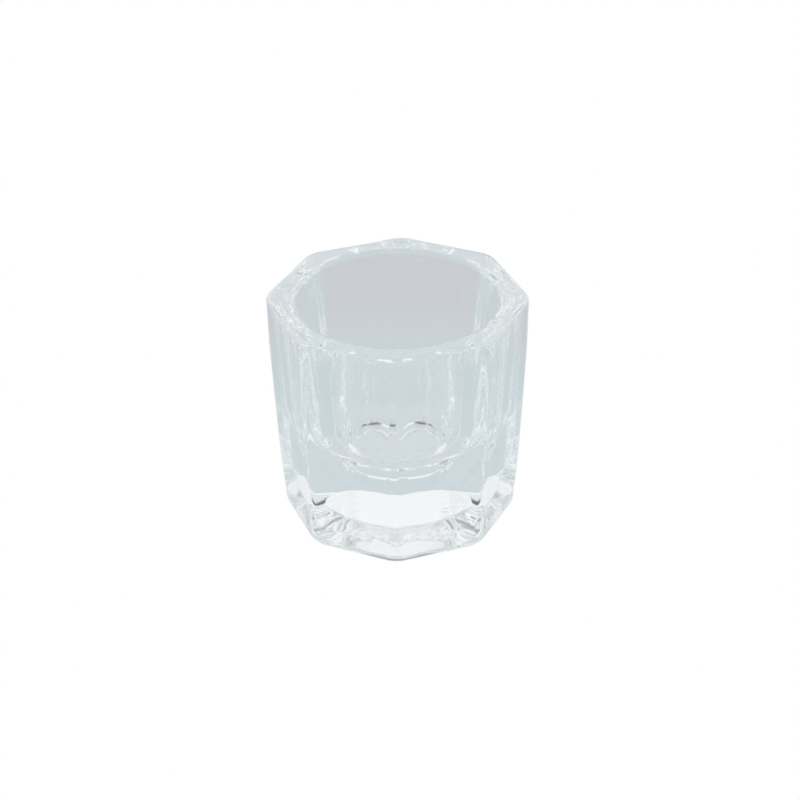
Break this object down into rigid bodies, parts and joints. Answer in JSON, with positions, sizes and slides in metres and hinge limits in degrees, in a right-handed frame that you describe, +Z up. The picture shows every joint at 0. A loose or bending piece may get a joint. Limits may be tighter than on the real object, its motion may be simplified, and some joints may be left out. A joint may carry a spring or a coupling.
{
  "type": "glass dappen dish",
  "caption": "Small octagonal clear pressed-glass dish with a deep round well on top for nail liquid and a shallow recess under the foot.",
  "frame": {"origin": "centre of the foot's resting plane, at the bottom centre of the bounding box", "axes": "+Z up along the dish's own axis, out of the mouth of the well; the octagon's corners lie on +X, -X, +Y and -Y"},
  "size_m": [0.03, 0.03, 0.028],
  "materials": {
    "clear_glass": "clear, fire-polished"
  },
  "bodies": {
    "root": {"glass_dish": "clear_glass"}
  },
  "joints": []
}
